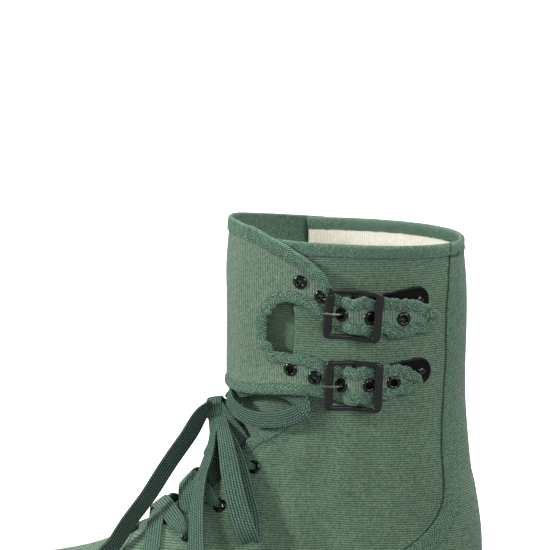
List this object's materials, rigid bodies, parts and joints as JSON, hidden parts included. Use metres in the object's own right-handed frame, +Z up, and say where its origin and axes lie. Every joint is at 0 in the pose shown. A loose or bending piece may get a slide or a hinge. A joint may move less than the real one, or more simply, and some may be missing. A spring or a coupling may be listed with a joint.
{
  "type": "canvas boot",
  "caption": "Left high canvas boot with a wrap-over cuff closed by buckled straps, criss-cross flat lace tied in a bow, and a lugged rubber cup sole.",
  "frame": {"origin": "middle of the boot's bounding box on the floor, without the tied lace ends", "axes": "-X to the toe, +X to the heel, -Y to the lateral (outer) side, +Z up"},
  "size_m": [0.2996, 0.1038, 0.2356],
  "materials": {
    "black_metal": "black satin enamel on pressed steel",
    "prong_metal": "worn bare steel",
    "flap_canvas": "plain woven cotton canvas, matt",
    "bed": "cream lining cloth over board",
    "lace": "flat ribbed tubular lace, matt",
    "rubber": "moulded black rubber, semi-matt",
    "tongue_canvas": "plain woven cotton canvas, matt",
    "canvas": "plain woven cotton canvas, matt"
  },
  "bodies": {
    "root": {"buckle_chape_lower": "black_metal", "buckle_chape_upper": "black_metal", "buckle_frame_lower": "black_metal", "buckle_frame_upper": "black_metal", "buckle_prong_lower": "prong_metal", "buckle_prong_upper": "prong_metal", "chape_rivet_lower": "black_metal", "chape_rivet_upper": "black_metal", "cuff_flap": "flap_canvas", "insole": "bed", "lace_cross_1": "lace", "lace_cross_2": "lace", "lace_cross_3": "lace", "lace_end_front": "lace", "lace_end_side": "lace", "lace_eyelet_lateral_1": "black_metal", "lace_eyelet_lateral_2": "black_metal", "lace_eyelet_lateral_3": "black_metal", "lace_eyelet_lateral_4": "black_metal", "lace_eyelet_medial_1": "black_metal", "lace_eyelet_medial_2": "black_metal", "lace_eyelet_medial_3": "black_metal", "lace_eyelet_medial_4": "black_metal", "lace_knot": "lace", "lace_loop_front": "lace", "lace_loop_side": "lace", "lace_tie_lateral": "lace", "lace_tie_medial": "lace", "outsole": "rubber", "strap_eyelet_lower_1": "black_metal", "strap_eyelet_lower_2": "black_metal", "strap_eyelet_lower_3": "black_metal", "strap_eyelet_lower_4": "black_metal", "strap_eyelet_lower_5": "black_metal", "strap_eyelet_upper_1": "black_metal", "strap_eyelet_upper_2": "black_metal", "strap_eyelet_upper_3": "black_metal", "strap_eyelet_upper_4": "black_metal", "strap_eyelet_upper_5": "black_metal", "tongue": "tongue_canvas", "upper": "canvas"}
  },
  "joints": []
}
